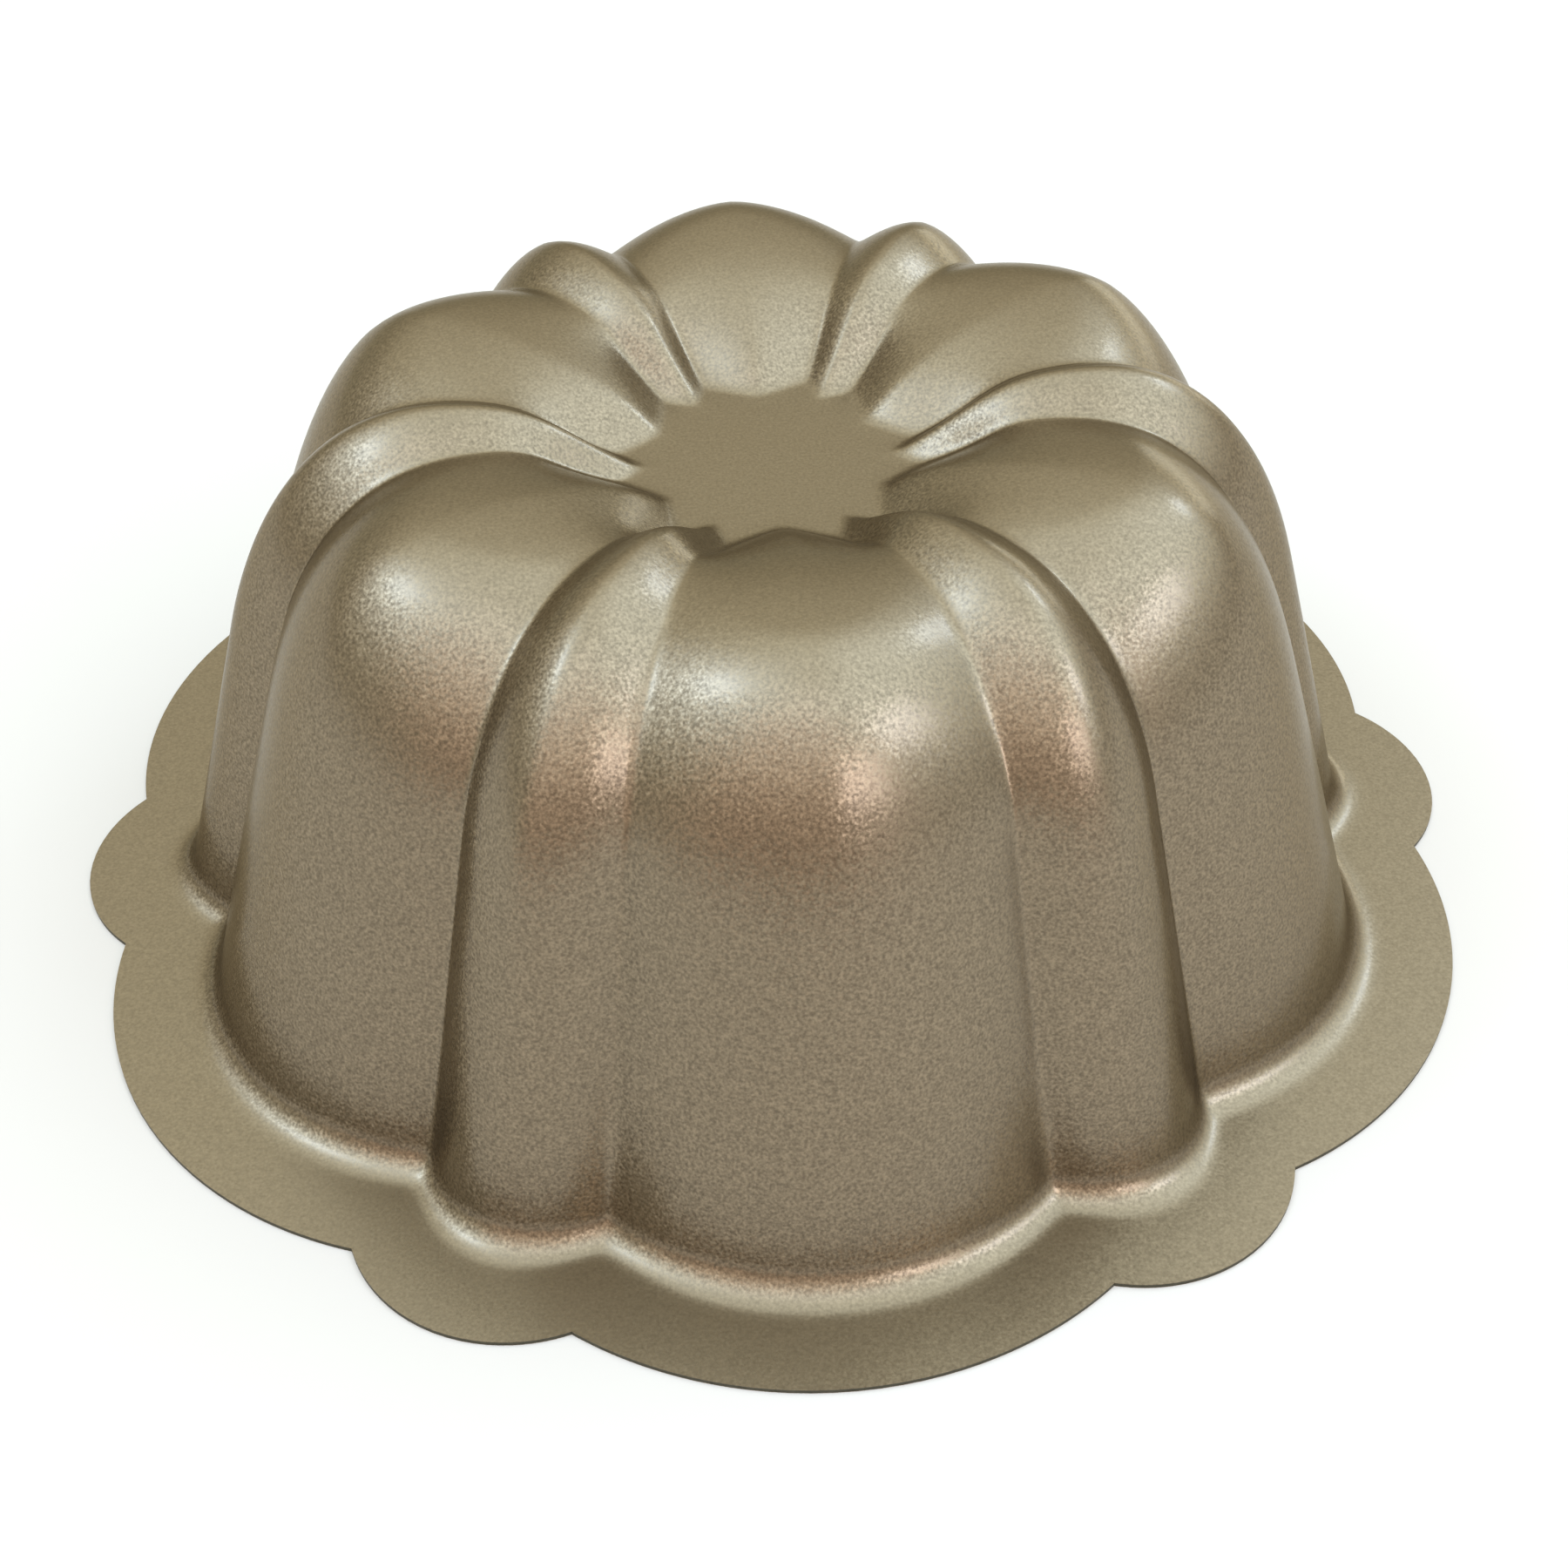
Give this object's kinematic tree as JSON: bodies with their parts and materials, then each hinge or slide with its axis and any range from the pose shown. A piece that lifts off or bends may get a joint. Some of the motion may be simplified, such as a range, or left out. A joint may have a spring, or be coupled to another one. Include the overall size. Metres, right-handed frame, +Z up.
{
  "type": "bundt pan",
  "caption": "Fluted cake pan of coated pressed steel, standing crown up on a flat scalloped flange, with a closed sunken web in the crown.",
  "frame": {"origin": "on the pan's axis, in the plane of the flange's underside", "axes": "+Z up the axis towards the crown, -Y through the ridge of a wide flute, +X through the ridge of a narrow flute"},
  "size_m": [0.245, 0.246, 0.093],
  "materials": {
    "steel_sheet": "trimmed edge, dulled",
    "outer_release_coating": "satin metallic champagne with fine flake",
    "inner_release_coating": "satin metallic champagne, smoother than the outside"
  },
  "bodies": {
    "root": {"steel_shell": "steel_sheet", "outer_coating": "outer_release_coating", "inner_coating": "inner_release_coating"}
  },
  "joints": []
}
